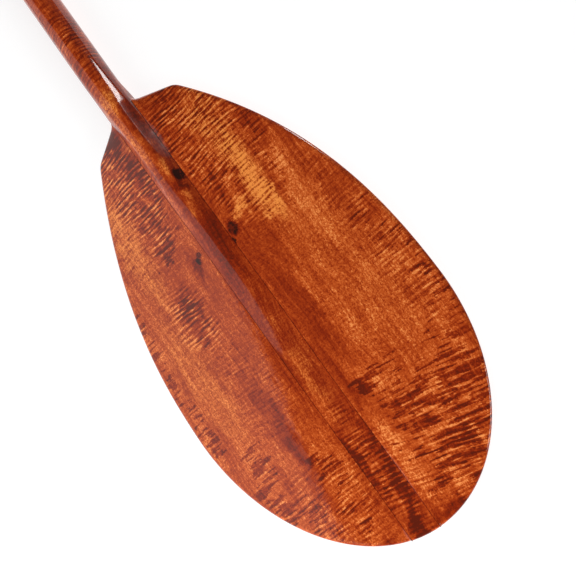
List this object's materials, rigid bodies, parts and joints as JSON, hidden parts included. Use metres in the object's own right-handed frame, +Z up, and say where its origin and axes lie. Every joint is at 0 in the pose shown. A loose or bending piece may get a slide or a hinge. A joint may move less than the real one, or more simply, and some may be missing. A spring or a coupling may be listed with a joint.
{
  "type": "canoe paddle",
  "caption": "Single-bladed wooden canoe paddle: a round shaft that runs through an egg-shaped blade as its stringer, glued-on blade wings and a T-grip.",
  "frame": {"origin": "middle of the base: half way between the grip's crown and the blade's tip, on the paddle's midplane, on the surface it lies on", "axes": "+X along the shaft from the grip to the blade's tip, +Y across the blade, +Z up, out of the blade's ridged face"},
  "size_m": [1.524, 0.304, 0.036],
  "materials": {
    "shaft_wood": "gloss varnish over straight-grained koa",
    "wing_wood_left": "gloss varnish over curly koa",
    "wing_wood_right": "gloss varnish over curly koa",
    "grip_wood": "gloss varnish over koa"
  },
  "bodies": {
    "root": {"shaft": "shaft_wood", "blade_wing_left": "wing_wood_left", "blade_wing_right": "wing_wood_right", "t_grip": "grip_wood"}
  },
  "joints": []
}
